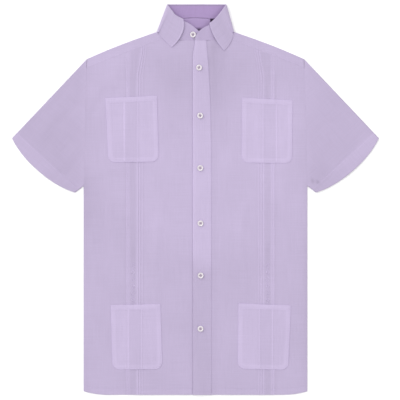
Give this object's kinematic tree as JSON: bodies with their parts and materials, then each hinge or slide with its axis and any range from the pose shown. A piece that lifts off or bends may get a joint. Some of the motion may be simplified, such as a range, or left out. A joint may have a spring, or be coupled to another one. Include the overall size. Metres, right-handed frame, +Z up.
{
  "type": "guayabera shirt",
  "caption": "Short-sleeved guayabera shirt in plain woven cloth, laid flat front up, with patch pockets, stitched tucks, a button placket and a turned-down collar.",
  "frame": {"origin": "on the table, below the middle of the shirt's bounding box", "axes": "+X to the right as the shirt is looked down on (the wearer's left), +Y from the hem to the collar, +Z up out of the table, from the back to the front"},
  "size_m": [0.7708, 0.8211, 0.0134],
  "materials": {
    "cloth": "plain-woven lilac linen blend, matt",
    "tab": "dark woven tape, blank",
    "button": "white pearl-like polyester"
  },
  "bodies": {
    "root": {"back": "cloth", "yoke": "cloth", "front_right": "cloth", "front_left": "cloth", "placket": "cloth", "pocket_chest_right": "cloth", "pocket_chest_left": "cloth", "pocket_lower_right": "cloth", "pocket_lower_left": "cloth", "sleeve_right": "cloth", "sleeve_left": "cloth", "collar_band": "cloth", "collar_leaf": "cloth", "neck_tab": "tab", "button_collar": "button", "button_1": "button", "button_2": "button", "button_3": "button", "button_4": "button", "button_5": "button", "button_6": "button"}
  },
  "joints": []
}
